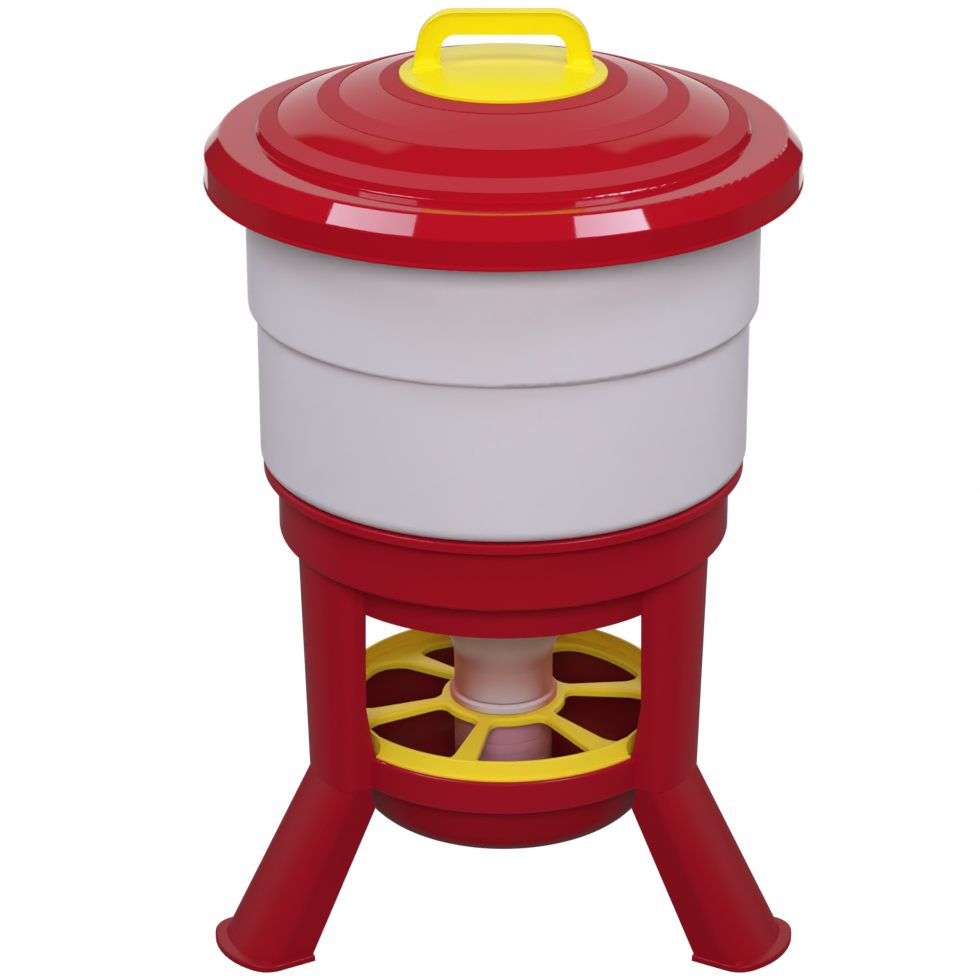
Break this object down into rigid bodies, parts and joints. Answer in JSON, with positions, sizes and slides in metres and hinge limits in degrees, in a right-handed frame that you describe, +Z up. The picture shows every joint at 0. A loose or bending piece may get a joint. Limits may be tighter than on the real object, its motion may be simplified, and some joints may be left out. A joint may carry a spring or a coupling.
{
  "type": "poultry tower feeder",
  "caption": "Gravity feeder for poultry: a lidded round hopper on a ring with splayed legs, its spout ending in a round pan under a spoked waste guard.",
  "frame": {"origin": "on the floor, under the middle of the part's outline: the feeder's round axis stands 13 mm in front of it, because one leg points straight back", "axes": "+Z up along the feeder's height, the front with its open feeding window faces -Y, the rear leg points to +Y, +X to the right as seen from the front turned about Z"},
  "size_m": [0.439, 0.46, 0.699],
  "materials": {
    "red_gloss": "glossy moulded polypropylene with matt textured bands",
    "red": "satin gloss moulded polypropylene",
    "yellow": "satin moulded polypropylene",
    "milky_clear": "milky translucent blow-moulded polyethylene",
    "zinc_screw": "zinc plated steel"
  },
  "bodies": {
    "base": {"base_frame": "red", "feed_pan": "red", "leg_front_left": "red", "leg_front_right": "red", "leg_rear": "red"},
    "hopper": {"hopper": "milky_clear"},
    "grid": {"feed_grid": "yellow"},
    "lid": {"lid": "red_gloss", "lid_handle": "yellow", "handle_screws": "zinc_screw"}
  },
  "joints": [
    {"name": "hopper_lift", "type": "slide", "parent": "base", "child": "hopper", "axis": [0, 0, 1], "range_m": [0, 0.3]},
    {"name": "grid_lift", "type": "slide", "parent": "base", "child": "grid", "axis": [0, 0, 1], "range_m": [0, 0.225]},
    {"name": "lid_lift", "type": "slide", "parent": "hopper", "child": "lid", "axis": [0, 0, 1], "range_m": [0, 0.15]}
  ],
  "couplings": [
    {"joint": "grid_lift", "follows": "hopper_lift", "ratio": 0.75}
  ]
}
